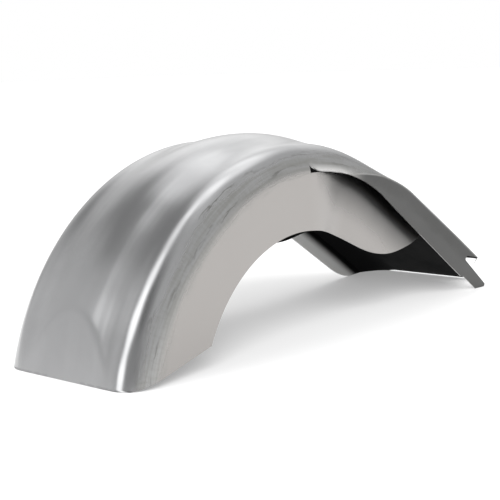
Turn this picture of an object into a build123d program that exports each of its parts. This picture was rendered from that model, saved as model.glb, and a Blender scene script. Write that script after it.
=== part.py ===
from build123d import *
import os
from math import cos, radians, sin, sqrt, tan

# Rear fender pressed from one steel sheet, standing on its tail edge and on its front end.
# Millimetres, +X to the front end, +Y to the machine's left side, +Z up.

# Sheet and main arc; ARC_Z is the height of the arc's centre over the floor
SHEET = 2.0
WIDTH = 240.0
HALF = WIDTH / 2
ARC_R = 335.0
ARC_Z = -78.0
SHOULDER_R = 40.0
CROWN_HALF = HALF - SHOULDER_R
DOME = 12.0

# Angles about the arc's centre, counted from the rear horizontal over the top
TAIL_ANGLE = 6.0
SLIT_ANGLE = 90.0
ROLL_ANGLE = 97.0
FRONT_ANGLE = 123.0

# Tail panel, flat and leaning forward
TAIL_X = -sqrt(ARC_R**2 - ARC_Z**2)
TAIL_LEAN = 12.9
TAIL_REST = 8.0

# Wheel arch in the skirts, cut straight from its corner to just in front of the tail
SKIRT_DEPTH = 138.0
ARCH_R = ARC_R - SKIRT_DEPTH
ARCH_X = -19.0
ARCH_Z = ARC_Z + 27.0
ARCH_CORNER = 24.9

# Lips and side flanges of the front end; FRONT_RUN is the crown's straight length down to the floor
FRONT_RUN = (ARC_Z + ARC_R * sin(radians(FRONT_ANGLE))) / -cos(radians(FRONT_ANGLE))
LIP_DEPTH = 35.0
LIP_R = ARC_R - LIP_DEPTH
NOTCH_RISE = 11.0
NOTCH_TURN = 4.4
RIM_HALF = HALF + 4.0
RIM_DROP = 1.0
FLANGE_LEAN = 10.0
FLANGE_SPREAD = 2.0
ROLL_RUN = 60.0
ROLL_STEPS = 6
FADE_RUN = FRONT_RUN / 2
FRONT_SPARE = 47.0
RUN_END = FRONT_RUN + FRONT_SPARE
FRONT_DROP = 4.0
FRONT_TRIM = 4.0

# Fork at the foot of the right flange, at heights over the floor
SLOT_HEIGHT = 53.0
SLOT_DEPTH = 15.5
SLOT_R = 4.0
SLOT_LOWER = 38.0
SLOT_UPPER = 13.0
SLOT_INNER_Y = CROWN_HALF - 7.0
SLOT_REACH = 200.0
PRONG_HEIGHT = 25.6
PRONG_STEP = 3.0
PRONG_R = 3.0

# Deeper flange on the left, with a rounder rim and a foot that runs out along the floor
LEFT_RIM_DROP = 26.0
LEFT_START = 105.0
LEFT_DEPTH = 63.0
LEFT_HEIGHT = 26.0
LEFT_FOOT_RUN = 62.0
LEFT_FOOT_SLOPE = 7.0

# Inner walls tucked in behind the lips; lobe points are angle and depth below the arc
TUCK = 16.0
TUCK_R = 60.0
TUCK_ANGLE = 112.0
TUCK_STEPS = 7
TUCK_ARC_STEPS = 4
TUCK_SINK = 0.1
TUCK_SWEEP = 80.0
TUCK_RUN = FRONT_RUN / 2
SLIT = 2.0
SLIT_TURN = 14.0
LOBE = ((99.9, 115.0), (114.9, 117.0), (129.6, 108.0), (140.5, 77.0), (146.0, 31.0), (149.2, -13.0))
LOBE_TURN = 0.15

# Inner end of every section, reach of the cutters, and the arc's axis
CORE_R = 120.0
REACH = 900.0
ARC_AXIS = Axis((0, 0, ARC_Z), (0, 1, 0))


def around(radius, angle):
    """Point of the side view at a radius and an angle of the main arc."""
    return (-radius * cos(radians(angle)), ARC_Z + radius * sin(radians(angle)))


def along(run, depth):
    """Point of the side view on the straight front: distance past the arc, depth below the crown."""
    x, z = around(ARC_R - depth, FRONT_ANGLE)
    return (x + run * sin(radians(FRONT_ANGLE)), z + run * cos(radians(FRONT_ANGLE)))


def run_to(height, depth):
    """Distance past the arc at which a line this deep below the crown is down at a height."""
    return (along(0.0, depth)[1] - height) / -cos(radians(FRONT_ANGLE))


def station(angle, run=0.0):
    """Plane across the fender: local x is +Y and local y points out from the arc's centre."""
    ahead = Vector(sin(radians(angle)), 0, cos(radians(angle)))
    return Plane(origin=Vector(0, 0, ARC_Z) + ahead * run, x_dir=(0, 1, 0), z_dir=ahead)


def ease(t):
    """Smooth step from 0 to 1."""
    t = min(max(t, 0.0), 1.0)
    return t * t * (3 - 2 * t)


def rolled_out(angle, run):
    """How far the shoulders are rolled out at a station, from 0 to 1."""
    past = ARC_R * radians(angle - ROLL_ANGLE) + run
    return ease(past / (ARC_R * radians(FRONT_ANGLE - ROLL_ANGLE) + ROLL_RUN))


def side_profile(top, rim_half, rim_drop, lean, inset):
    """Points of a section's left side: foot and top of the wall, middle of the shoulder."""
    roll = ((rim_half - CROWN_HALF) ** 2 + rim_drop**2) / (2 * rim_drop)
    hub = top - roll
    turned = roll - inset
    # the side wall's line, moved in by the inset, meets the moved shoulder at the rim
    out = Vector(cos(radians(lean)), -sin(radians(lean)))
    down = Vector(-sin(radians(lean)), -cos(radians(lean)))
    corner = Vector(rim_half - CROWN_HALF, roll - rim_drop) - out * inset
    drop = corner.dot(down)
    gap = corner.dot(corner) - turned**2
    rim = corner + down * (-drop - sqrt(drop**2 - gap)) if inset else corner
    wall_top = (CROWN_HALF + rim.X, hub + rim.Y)
    foot = (wall_top[0] - tan(radians(lean)) * (wall_top[1] - CORE_R), CORE_R)
    bulge = Vector(rim.X, rim.Y + turned).normalized() * turned
    return foot, wall_top, (CROWN_HALF + bulge.X, hub + bulge.Y)


def profile(top, dome, rim_half, left_drop, right_drop, lean, inset):
    """Open outline of a section: side wall, rolled shoulder, domed crown, shoulder, side wall."""

    def flip(q):
        return (-q[0], q[1])

    left_foot, left_top, left_roll = side_profile(top, rim_half, left_drop, lean, inset)
    right_foot, right_top, right_roll = map(flip, side_profile(top, rim_half, right_drop, lean, inset))
    crest = top - inset
    shoulder = (CROWN_HALF, crest)
    quarter = (CROWN_HALF / 2, crest + dome * 9 / 16)
    level = ((-1, 0), (-1, 0))
    edges = [
        Line(left_foot, left_top),
        ThreePointArc(left_top, left_roll, shoulder),
        Spline(shoulder, quarter, (0, crest + dome), flip(quarter), flip(shoulder), tangents=level),
        ThreePointArc(flip(shoulder), right_roll, right_top),
        Line(right_top, right_foot),
    ]
    return edges, left_foot, right_foot


def rear_section(inset):
    """Filled section of the main arc."""
    edges, left, right = profile(ARC_R, DOME, HALF, SHOULDER_R, SHOULDER_R, 0.0, inset)
    return make_face(edges + [Line(right, left)])


def front_section(angle, run):
    """Section of the sheet: shoulders roll out flat to the front, flanges grow below the rims."""
    t = rolled_out(angle, run)
    fade = ease((run - FADE_RUN) / (RUN_END - FADE_RUN))
    rim_half = HALF + (RIM_HALF - HALF) * t
    drops = [SHOULDER_R + (drop - SHOULDER_R) * t for drop in (LEFT_RIM_DROP, RIM_DROP)]
    shape = (ARC_R - FRONT_DROP * fade, DOME * (1 - t), rim_half, *drops, FLANGE_LEAN * t)
    outer, outer_left, outer_right = profile(*shape, 0.0)
    inner, inner_left, inner_right = profile(*shape, SHEET)
    ends = [Line(outer_right, inner_right)], [Line(inner_left, outer_left)]
    return make_face(outer + ends[0] + inner[::-1] + ends[1])


def rear_solid(inset):
    """Filled main arc, turned about its axis and cut flat at the tail."""
    turned = revolve(station(TAIL_ANGLE) * rear_section(inset), ARC_AXIS, ROLL_ANGLE - TAIL_ANGLE)
    tail = Plane(
        origin=(TAIL_X + inset / cos(radians(TAIL_LEAN)), 0, 0),
        x_dir=(0, 1, 0),
        z_dir=(-cos(radians(TAIL_LEAN)), 0, sin(radians(TAIL_LEAN))),
    )
    return turned - extrude(tail * Rectangle(REACH, REACH), ARC_R)


def crown_sheet():
    """Crown with full side walls: main arc, run where the shoulders roll out, straight front."""
    rear = rear_solid(0.0) - rear_solid(SHEET)
    turn = FRONT_ANGLE - ROLL_ANGLE
    stops = [(ROLL_ANGLE + turn * i / ROLL_STEPS, 0.0) for i in range(ROLL_STEPS + 1)]
    stops += [(FRONT_ANGLE, ROLL_RUN * i / 2) for i in (1, 2)]
    stops += [(FRONT_ANGLE, ROLL_RUN + (FADE_RUN - ROLL_RUN) * i / 3) for i in (1, 2, 3)]
    stops += [(FRONT_ANGLE, FADE_RUN + (RUN_END - FADE_RUN) * i / 4) for i in (1, 2, 3, 4)]
    return rear + loft([station(a, s) * front_section(a, s) for a, s in stops])


def tuck_section(angle):
    """Section of the right inner wall: upright, then rolled in and up to the crown's underside."""
    t = ease((angle - SLIT_ANGLE) / (TUCK_ANGLE - SLIT_ANGLE))
    half = HALF - TUCK * t
    outer_r = SHOULDER_R + (TUCK_R - SHOULDER_R) * t
    inner_r = outer_r - SHEET
    top = (half - outer_r + outer_r * cos(radians(TUCK_SWEEP))) / CROWN_HALF
    lift = DOME * (1 - rolled_out(angle, 0.0)) * max(1 - top**2, 0.0) ** 2
    hub = (outer_r - half, ARC_R + lift - TUCK_SINK * t - outer_r)

    def roll(radius, turn):
        return (hub[0] - radius * cos(radians(turn)), hub[1] + radius * sin(radians(turn)))

    outer_foot = (-half, CORE_R)
    inner_foot = (SHEET - half, CORE_R)
    edges = [
        Line(outer_foot, roll(outer_r, 0)),
        ThreePointArc(*[roll(outer_r, TUCK_SWEEP * i / 2) for i in (0, 1, 2)]),
        Line(roll(outer_r, TUCK_SWEEP), roll(inner_r, TUCK_SWEEP)),
        ThreePointArc(*[roll(inner_r, TUCK_SWEEP * i / 2) for i in (2, 1, 0)]),
        Line(roll(inner_r, 0), inner_foot),
        Line(inner_foot, outer_foot),
    ]
    return make_face(edges)


def tuck_wall():
    """Right inner wall from the slit to past the lobe, before its outline is cut."""
    bend = TUCK_ANGLE - SLIT_ANGLE
    rest = FRONT_ANGLE - TUCK_ANGLE
    stops = [SLIT_ANGLE + bend * i / TUCK_STEPS for i in range(TUCK_STEPS)]
    stops += [TUCK_ANGLE + rest * i / TUCK_ARC_STEPS for i in range(TUCK_ARC_STEPS + 1)]
    curved = loft([station(a) * tuck_section(a) for a in stops])
    ahead = station(FRONT_ANGLE)
    return curved + extrude(ahead * tuck_section(FRONT_ANGLE), TUCK_RUN, ahead.z_dir)


def arch_top():
    """Point of the wheel arch straight above the arc's centre."""
    return (0.0, ARCH_Z + sqrt(ARCH_R**2 - ARCH_X**2))


def lip_edges(end_angle):
    """Lip's lower edge, from the open end of the slit to an angle of the arc."""
    start = (0.0, ARC_Z + LIP_R + NOTCH_RISE)
    settle = SLIT_ANGLE + NOTCH_TURN
    level = (cos(radians(NOTCH_TURN)), -sin(radians(NOTCH_TURN)))
    notch = Spline(start, around(LIP_R, settle), tangents=((0.45, -0.9), level))
    turn = (end_angle - settle) / 2
    return start, [notch, ThreePointArc(*[around(LIP_R, settle + turn * i) for i in (0, 1, 2)])]


def side_outline(lip_start, lower_edges, floor_x):
    """Kept region of the side view, over the arch, the skirt's cut and the given lower edges."""
    corner = (
        ARCH_X - ARCH_R * cos(radians(ARCH_CORNER)),
        ARCH_Z + ARCH_R * sin(radians(ARCH_CORNER)),
    )
    crown_end = ARC_R - FRONT_DROP + ARC_Z * sin(radians(FRONT_ANGLE))
    front_x = -crown_end / cos(radians(FRONT_ANGLE)) - FRONT_TRIM
    rim = [(TAIL_X + TAIL_REST, 0), (-REACH, 0), (-REACH, REACH)]
    rim += [(front_x, REACH), (front_x, 0), (floor_x, 0)]
    edges = [ThreePointArc(arch_top(), (ARCH_X, ARCH_Z + ARCH_R), corner), Line(corner, rim[0])]
    edges += [Line(a, b) for a, b in zip(rim, rim[1:])]
    return make_face(edges + lower_edges[::-1] + [Line(lip_start, arch_top())])


def right_outline():
    """Side view of the right half: straight flange with a narrower prong at its foot."""
    start, edges = lip_edges(FRONT_ANGLE)
    slope = radians(FRONT_ANGLE - 90 + FLANGE_SPREAD)
    ahead = Vector(cos(slope), -sin(slope))
    flange = Vector(*around(LIP_R, FRONT_ANGLE))
    step = flange + ahead * ((flange.Y - PRONG_HEIGHT) / sin(slope))
    prong = step + Vector(sin(slope), cos(slope)) * PRONG_STEP + ahead * PRONG_STEP
    foot = prong + ahead * (prong.Y / sin(slope))
    points = [(q.X, q.Y) for q in (flange, step, prong, foot)]
    edges += [Line(a, b) for a, b in zip(points, points[1:])]
    return side_outline(start, edges, foot.X)


def left_outline():
    """Side view of the left half: the flange deepens after the lip and flattens at the floor."""
    start, edges = lip_edges(LEFT_START)
    deep = around(ARC_R - LEFT_DEPTH, FRONT_ANGLE)
    end = along(run_to(LEFT_HEIGHT, LEFT_DEPTH), LEFT_DEPTH)
    foot = (end[0] + LEFT_FOOT_RUN, 0)
    flat = (cos(radians(LEFT_FOOT_SLOPE)), -sin(radians(LEFT_FOOT_SLOPE)))
    leave = (sin(radians(LEFT_START)), cos(radians(LEFT_START)))
    join = (sin(radians(FRONT_ANGLE)), cos(radians(FRONT_ANGLE)))
    edges.append(Spline(around(LIP_R, LEFT_START), deep, tangents=(leave, join)))
    edges += [Line(deep, end), Spline(end, foot, tangents=(join, flat))]
    return side_outline(start, edges, foot[0])


def fork_cut():
    """Open slot above the prong, running out through the crown's right corner."""
    hub = along(run_to(SLOT_HEIGHT, SLOT_DEPTH), SLOT_DEPTH)
    lower = radians(SLOT_LOWER)
    upper = radians(SLOT_UPPER)
    top = (hub[0] + SLOT_R * sin(upper), hub[1] + SLOT_R * cos(upper))
    low = (hub[0] - SLOT_R * sin(lower), hub[1] - SLOT_R * cos(lower))
    back = (hub[0] - SLOT_R * cos((lower + upper) / 2), hub[1] + SLOT_R * sin((lower + upper) / 2))
    # the prong's end is rounded down to the floor
    tip_x = low[0] + low[1] / tan(lower)
    trim = PRONG_R / tan(lower / 2)
    round_start = (tip_x - trim * cos(lower), trim * sin(lower))
    round_hub = Vector(tip_x - trim, PRONG_R)
    round_mid = round_hub + Vector(trim, -PRONG_R).normalized() * PRONG_R
    far_x = hub[0] + SLOT_REACH
    corner = (far_x, top[1] - (far_x - top[0]) * tan(upper))
    base = -SLOT_REACH
    edges = [
        Line(top, corner),
        Line(corner, (far_x, base)),
        Line((far_x, base), (round_hub.X, base)),
        Line((round_hub.X, base), (round_hub.X, 0)),
        ThreePointArc((round_hub.X, 0), (round_mid.X, round_mid.Y), round_start),
        Line(round_start, low),
        ThreePointArc(low, back, top),
    ]
    return make_face(edges)


def wall_outline():
    """Side view of an inner wall: lobed lower edge, slit above its rear part."""
    low_r = LIP_R - SLIT
    slit = [around(low_r, SLIT_ANGLE + SLIT_TURN * i / 2) for i in (0, 1, 2)]
    lobe = [around(ARC_R - depth, angle) for angle, depth in LOBE]
    front = (lobe[-1][0] + TUCK_RUN, lobe[-1][1] + TUCK_RUN * LOBE_TURN)
    edges = [
        Spline(arch_top(), *lobe, tangents=((1, -0.1), (1, LOBE_TURN))),
        Line(lobe[-1], front),
        Line(front, (front[0], REACH)),
        Line((front[0], REACH), (slit[2][0], REACH)),
        Line((slit[2][0], REACH), slit[2]),
        ThreePointArc(*slit[::-1]),
        Line(slit[0], arch_top()),
    ]
    return make_face(edges)


def fender():
    """The whole sheet: crown with skirts and flanges, joined with the two inner walls."""
    crown = crown_sheet()
    right = crown & extrude(Plane.XZ * right_outline(), REACH)
    left = crown & extrude(Plane.XZ * left_outline(), -REACH)
    right -= extrude(Plane.XZ.offset(SLOT_INNER_Y) * fork_cut(), REACH)
    wall = tuck_wall() & extrude(Plane.XZ * wall_outline(), REACH)
    return right + left + wall + mirror(wall, Plane.XZ)


shell = fender()
box = shell.bounding_box()
shell = Pos(-(box.min.X + box.max.X) / 2, 0, -box.min.Z) * shell
os.makedirs("parts", exist_ok=True)
export_step(shell, "parts/fender_shell.step")
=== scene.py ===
from math import cos, radians, sin, sqrt, tan
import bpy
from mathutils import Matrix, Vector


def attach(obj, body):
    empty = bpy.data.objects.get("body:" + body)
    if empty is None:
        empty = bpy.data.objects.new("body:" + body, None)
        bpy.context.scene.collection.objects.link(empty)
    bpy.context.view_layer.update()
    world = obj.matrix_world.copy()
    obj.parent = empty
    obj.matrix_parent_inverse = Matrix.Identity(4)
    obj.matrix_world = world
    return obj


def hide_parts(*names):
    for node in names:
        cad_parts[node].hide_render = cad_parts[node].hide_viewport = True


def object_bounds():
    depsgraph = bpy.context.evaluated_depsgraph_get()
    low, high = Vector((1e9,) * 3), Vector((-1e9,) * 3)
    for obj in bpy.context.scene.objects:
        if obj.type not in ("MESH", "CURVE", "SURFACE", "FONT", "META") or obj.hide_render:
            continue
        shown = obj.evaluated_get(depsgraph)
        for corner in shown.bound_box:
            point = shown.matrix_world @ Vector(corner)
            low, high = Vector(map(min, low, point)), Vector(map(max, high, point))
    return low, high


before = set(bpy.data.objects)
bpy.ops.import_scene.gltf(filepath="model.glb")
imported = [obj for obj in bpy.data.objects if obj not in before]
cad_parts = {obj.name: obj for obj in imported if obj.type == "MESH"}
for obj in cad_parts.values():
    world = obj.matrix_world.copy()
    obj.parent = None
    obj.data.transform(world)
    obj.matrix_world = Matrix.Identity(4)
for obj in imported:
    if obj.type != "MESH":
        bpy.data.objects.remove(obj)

from types import SimpleNamespace

import bmesh
import bpy
import numpy as np
from mathutils import Matrix, Vector

bl_info = {
    "name": "Rear Fender",
    "version": (1, 0, 0),
    "blender": (4, 5, 0),
    "location": "View3D > Sidebar > Fender",
    "description": "Bare steel motorcycle rear fender, formed from a flat blank",
    "category": "Object",
}

CAD_BOX = [list(corner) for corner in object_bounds()]

# Fixed sizes of the pressing, in metres and radians; angles are counted over the arc from the rear
TOP_ANGLE = radians(90)
ROLL_ANGLE = radians(97)
FRONT_ANGLE = radians(123)
ARC_Z = -0.078
TAIL_REST = 0.008
TAIL_SOFT = 0.002
ARCH_X, ARCH_Z = -0.019, -0.051
ARCH_CORNER = radians(24.9)
NOTCH_RISE, NOTCH_TURN = 0.011, radians(4.4)
RIM_SPREAD, RIM_DROP, LEFT_RIM_DROP = 0.004, 0.001, 0.026
FLANGE_SPREAD = radians(2)
ROLL_RUN = 0.060
FRONT_DROP, FRONT_TRIM, FRONT_SPARE = 0.004, 0.004, 0.047
SLOT_HEIGHT, SLOT_DEPTH = 0.053, 0.0155
SLOT_LOWER, SLOT_UPPER = radians(38), radians(13)
SLOT_INNER = 0.073
PRONG_HEIGHT, PRONG_STEP, PRONG_ROUND = 0.0256, 0.003, 0.003
LEFT_START, LEFT_DEPTH, LEFT_HEIGHT = radians(105), 0.063, 0.026
LEFT_FOOT_RUN, LEFT_FOOT_SLOPE = 0.062, radians(7)
TUCK_ANGLE, TUCK_SWEEP, TUCK_SINK, TUCK_ROLL = radians(112), radians(80), 0.0001, 0.060
SLIT, SLIT_TURN = 0.002, radians(14)
LIP_FLARE = 0.0035

# Lower edge of an inner wall: angles in degrees, each with its depth below the crown's edges
LOBE = ((99.9, 0.115), (114.9, 0.117), (129.6, 0.108), (140.5, 0.077), (146.0, 0.031), (149.2, -0.013))

# Directions in the side view: ends of the lobe's edge, and the lip's edge where the slit opens
LOBE_LEAVE, LOBE_ARRIVE = (1, -0.1), (1, 0.15)
NOTCH_FALL = (0.45, -0.9)

# Sizes of the making: spare sheet past the trimmed front, weld, search steps, space for the fork's shears
TRIM_SPARE, WELD, HALVINGS = 0.01, 0.00002, 50
FORK_AHEAD, FORK_BELOW = 0.2, -0.05
FORK_ZONE, FORK_INSET, SHEAR_REACH = 0.03, 0.01, 0.006

# Facets along the sheet and across its crown, shoulders and walls, and how they crowd towards a rim
REAR_ROWS, LIP_ROWS, FRONT_ROWS = 150, 16, 150
CROWN_COLUMNS, SHOULDER_COLUMNS, ROOT_COLUMNS = 40, 13, 5
SKIRT_COLUMNS, FLANGE_COLUMNS = 22, 11
SLIT_ROWS, WALL_ROWS, WALL_END_ROWS = 26, 70, 14
WALL_COLUMNS, TUCK_COLUMNS = 26, 14
CURVE_POINTS, LOBE_POINTS, SLOT_POINTS, TOE_POINTS = 40, 60, 13, 9
CROWDING = 1.6

# Share of a lip's roll past which it flares and carries a painted highlight
LIP_EDGE = 0.84

# Lengths over which the lips' flare and painted highlight, the flanges' painted shade and their painted
# highlight strips come or go
LIP_FADE = 0.03
LIP_HIGHLIGHT_IN, LIP_HIGHLIGHT_PAST, LIP_HIGHLIGHT_OUT = 0.02, 0.03, 0.05
FLANGE_SHADE_RUN, FLANGE_SHADE_DROP = 0.05, 0.0025
HIGHLIGHT_FROM, HIGHLIGHT_RUN = 0.008, 0.016

# Painted shade on the inner walls under the lips and on their tops rolled in under the crown: depths and
# strengths, with the distance past the top over which they come
WALL_SHADE_DEPTHS, WALL_SHADE_SOFT = ((0.028, 0.025), (0.034, 0.09)), 0.055
WALL_SHADE, WALL_SHADE_MORE, WALL_SHADE_ALL = 0.45, (0.32, 0.11), (0.08, 0.05)
TUCK_SHADE = 0.85

# Zones of the flat sheet by their distance from the crown's middle, and how far they wander; the skirts'
# zone carries painted shade
SKIRT_SHADE_COMES, BAND_COMES, BAND_GOES = (0.126, 0.142), (0.093, 0.103), (0.119, 0.133)
RAGGED_LINES, LINE_COMES, LINE_GOES = (0.0955, 0.1125), 0.0020, 0.0022
WANDER_REACH = 0.030

# Patterns of the flat sheet in repeats per metre along and across it, their depths and their haze
GRAIN, WAVES, STREAKS = (60.0, 1600.0), (2.2, 36.0), (9.0, 170.0)
RIPPLES, WANDER, BREAKS = (260.0, 90.0), (14.0, 60.0), (16.0, 40.0)
GRAIN_DEPTH, WAVE_DEPTH, MARK_DEPTH, SHEAR_DEPTH = 0.0001, 0.0006, 0.0005, 0.0002
BAND_HAZE, PAINTED_SHADE_HAZE, HIGHLIGHT_HAZE = 0.10, 0.30, 0.15
RIPPLE_SHARE = 0.28

# Soft panels of the surround in degrees: azimuth, height, outer and inner angle; and strength, where
# a negative one is a dark flag
PANELS = (
    (40, 64, 26, 4, 1.10),
    (38, 34, 30, 6, 0.75),
    (58, 16, 32, 8, 0.30),
    (74, 77, 16, 3, 0.85),
    (168, 10, 17, 3, 2.30),
    (169, 34, 16, 3, 2.30),
    (166, 52, 14, 3, 1.80),
    (155, 66, 12, 3, 1.10),
    (124, 72, 12, 3, 1.00),
    (142, 37, 16, 4, 0.20),
    (-100, 84, 14, 4, 0.20),
    (-65, 35, 75, 45, 0.33),
    (118, 12, 40, 14, 0.44),
    (-155, 45, 22, 6, -0.20),
    (106, 47, 22, 6, -0.07),
)

# White ring's soft upper edge, and the front light's azimuth, height and softness, in degrees
RING_HEIGHTS = (4, 8)
FRONT_LIGHT, FRONT_LIGHT_SOFTNESS = (-134, 35), 40
FLOOR_HALF = 30.0

# Camera of the photograph: lens and sensor in millimetres, sight and place in metres, turns in degrees
CAMERA_LENS, CAMERA_SENSOR, CAMERA_SIGHT = 85.06, 36.0, 100.0
CAMERA_PLACE = (-1.2724, -1.05668, 0.36051)
CAMERA_YAW, CAMERA_PITCH, CAMERA_TILT = 41.195, 8.935, -1.815


class FenderSizes(bpy.types.PropertyGroup):
    arc_radius: bpy.props.FloatProperty(
        name="Arc Radius", description="Radius of the crown's edges over the wheel",
        default=0.335, min=0.2, unit="LENGTH")
    half_width: bpy.props.FloatProperty(
        name="Half Width", description="Half the width over the skirts",
        default=0.120, min=0.06, unit="LENGTH")
    shoulder_radius: bpy.props.FloatProperty(
        name="Shoulder Radius", description="Roll between crown and skirt",
        default=0.040, min=0.005, unit="LENGTH")
    dome: bpy.props.FloatProperty(
        name="Dome", description="Rise of the crown's middle over its edges",
        default=0.012, min=0.0, unit="LENGTH")
    sheet: bpy.props.FloatProperty(
        name="Sheet", description="Thickness of the steel",
        default=0.002, min=0.0005, unit="LENGTH")
    skirt_depth: bpy.props.FloatProperty(
        name="Skirt Depth", description="Depth of the skirts below the crown's edges",
        default=0.138, min=0.05, unit="LENGTH")
    lip_depth: bpy.props.FloatProperty(
        name="Lip Depth", description="Depth of the lips ahead of the slits",
        default=0.035, min=0.02, unit="LENGTH")
    flange_lean: bpy.props.FloatProperty(
        name="Flange Lean", description="Inward lean of the front side flanges",
        default=radians(10), subtype="ANGLE")
    tail_lean: bpy.props.FloatProperty(
        name="Tail Lean", description="Forward lean of the flat tail panel",
        default=radians(12.9), subtype="ANGLE")
    tuck: bpy.props.FloatProperty(
        name="Tuck", description="How far the inner walls stand in behind the lips",
        default=0.016, min=0.004, unit="LENGTH")
    slot_radius: bpy.props.FloatProperty(
        name="Slot Radius", description="Radius of the closed end of the fork's slot",
        default=0.004, min=0.001, unit="LENGTH")


class FenderFinish(bpy.types.PropertyGroup):
    steel: bpy.props.FloatVectorProperty(
        name="Steel", description="Colour of the bare sheet", subtype="COLOR",
        size=3, default=(0.424, 0.426, 0.431), min=0.0, max=1.0)
    steel_dull: bpy.props.FloatVectorProperty(
        name="Dull Steel", description="Colour where the sheet is hazed by handling", subtype="COLOR",
        size=3, default=(0.378, 0.380, 0.385), min=0.0, max=1.0)
    # Painted shade: the skirts darker and warmer than the crown, standing in for how the sides are lit
    skirt: bpy.props.FloatVectorProperty(
        name="Skirt", description="Warmer colour of the sheet below the draw marks", subtype="COLOR",
        size=3, default=(0.385, 0.369, 0.356), min=0.0, max=1.0)
    drawn: bpy.props.FloatVectorProperty(
        name="Drawn Steel", description="Colour of the band of draw marks under the shoulders",
        subtype="COLOR", size=3, default=(0.322, 0.321, 0.309), min=0.0, max=1.0)
    # Painted highlight: bright colour on the lips' lower edges and in strips along the flanges' insides
    polished: bpy.props.FloatVectorProperty(
        name="Polished", description="Colour of the lips' rubbed edges and the flanges' bare strips",
        subtype="COLOR", size=3, default=(0.92, 0.915, 0.905), min=0.0, max=1.0)
    cut_edge: bpy.props.FloatVectorProperty(
        name="Cut Edge", description="Colour of the sheet's sheared edges", subtype="COLOR",
        size=3, default=(0.66, 0.655, 0.65), min=0.0, max=1.0)
    # Painted shade: dark colour on the flanges and the inner walls' upper parts, standing in for the shade
    # under the lips and the flanges' dark reflection
    scale: bpy.props.FloatVectorProperty(
        name="Scale", description="Colour of the thin mill scale on the flanges and inner walls",
        subtype="COLOR", size=3, default=(0.132, 0.132, 0.130), min=0.0, max=1.0)
    # Painted shade: near-black colour of the whole inside, standing in for the shade under the fender
    inside: bpy.props.FloatVectorProperty(
        name="Inside", description="Colour of the thick dark mill scale on the inside",
        subtype="COLOR", size=3, default=(0.005, 0.005, 0.0053), min=0.0, max=1.0)
    roughness: bpy.props.FloatProperty(
        name="Roughness", description="Haze of the satin surface",
        default=0.19, min=0.05, max=1.0, subtype="FACTOR")
    marks: bpy.props.FloatProperty(
        name="Draw Marks", description="Depth of the ripples in the drawn band",
        default=0.6, min=0.0, max=1.0, subtype="FACTOR")


class FenderStage(bpy.types.PropertyGroup):
    floor: bpy.props.FloatVectorProperty(
        name="Floor", description="Colour of the studio floor", subtype="COLOR",
        size=3, default=(0.61, 0.61, 0.61), min=0.0, max=1.0)
    fill: bpy.props.FloatProperty(
        name="Fill", description="Strength of the surround", default=0.46, min=0.0)
    glow: bpy.props.FloatProperty(
        name="Glow", description="Light of the floor itself, like a light table", default=0.30, min=0.0)
    front: bpy.props.FloatProperty(
        name="Front Light", description="Strength of the light on the floor from the camera's side",
        default=3.2, min=0.0)


def ease_number(t):
    """Smooth step from 0 to 1."""
    t = np.clip(t, 0.0, 1.0)
    return t * t * (3 - 2 * t)


def plug(tree, value, socket):
    """Feeds an input with a field, another node's output or a plain value."""
    if isinstance(value, Field):
        value = value.socket
    if isinstance(value, bpy.types.NodeSocket):
        tree.links.new(value, socket)
    else:
        socket.default_value = value


class Field:
    """A number in a node tree that takes part in plain arithmetic."""

    def __init__(self, tree, socket):
        self.tree = tree
        self.socket = socket

    def math(self, operation, *others):
        node = self.tree.nodes.new("ShaderNodeMath")
        node.operation = operation
        for socket, value in zip(node.inputs, (self, *others)):
            plug(self.tree, value, socket)
        return Field(self.tree, node.outputs[0])

    def __add__(self, other):
        return self.math("ADD", other)

    def __sub__(self, other):
        return self.math("SUBTRACT", other)

    def __mul__(self, other):
        return self.math("MULTIPLY", other)

    def __truediv__(self, other):
        return self.math("DIVIDE", other)

    def __rsub__(self, other):
        return self.math("MULTIPLY", -1.0).math("ADD", other)

    __radd__ = __add__
    __rmul__ = __mul__


def ease_field(t):
    """Smooth step from 0 to 1 in a node tree."""
    t = t.math("MAXIMUM", 0.0).math("MINIMUM", 1.0)
    return t * t * (3.0 - t * 2.0)


NUMBERS = SimpleNamespace(
    sin=np.sin, cos=np.cos, tan=np.tan, ease=ease_number, positive=lambda n: np.maximum(n, 0.0))
FIELDS = SimpleNamespace(
    sin=lambda f: f.math("SINE"), cos=lambda f: f.math("COSINE"),
    tan=lambda f: f.math("TANGENT"), ease=ease_field, positive=lambda f: f.math("MAXIMUM", 0.0))


def rolled_out(k, turn, run, m):
    """How far the shoulders are rolled out at a station, from 0 to 1."""
    past = (turn - ROLL_ANGLE) * k.arc_radius + run
    return m.ease(past / (k.arc_radius * (FRONT_ANGLE - ROLL_ANGLE) + ROLL_RUN))


def section(k, turn, run, side, m):
    """One side of the sheet across a station: top, dome, rim drop, roll radius, flange lean."""
    t = rolled_out(k, turn, run, m)
    fade = m.ease((run - k.front_run * 0.5) / (k.front_run * 0.5 + FRONT_SPARE))
    top = k.arc_radius - fade * FRONT_DROP
    reach = k.shoulder_radius + t * RIM_SPREAD
    last_drop = (side + 1.0) * ((LEFT_RIM_DROP - RIM_DROP) * 0.5) + RIM_DROP
    rim_drop = k.shoulder_radius + t * (last_drop - k.shoulder_radius)
    roll = (reach * reach + rim_drop * rim_drop) / (rim_drop * 2.0)
    return top, (1.0 - t) * k.dome, rim_drop, roll, t * k.flange_lean


def sheet_point(k, v, m):
    """Side and radius of a point of the outer sheet."""
    top, dome, _, roll, lean = section(k, v.turn, v.run, v.side, m)
    crest = 1.0 - v.across * v.across
    out = roll * m.sin(v.roll) - v.drop * m.tan(lean)
    y = v.across * (k.half_width - k.shoulder_radius) + v.side * (out + v.flare)
    r = top + dome * crest * crest - roll * (1.0 - m.cos(v.roll)) - v.drop
    return y, r


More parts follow.
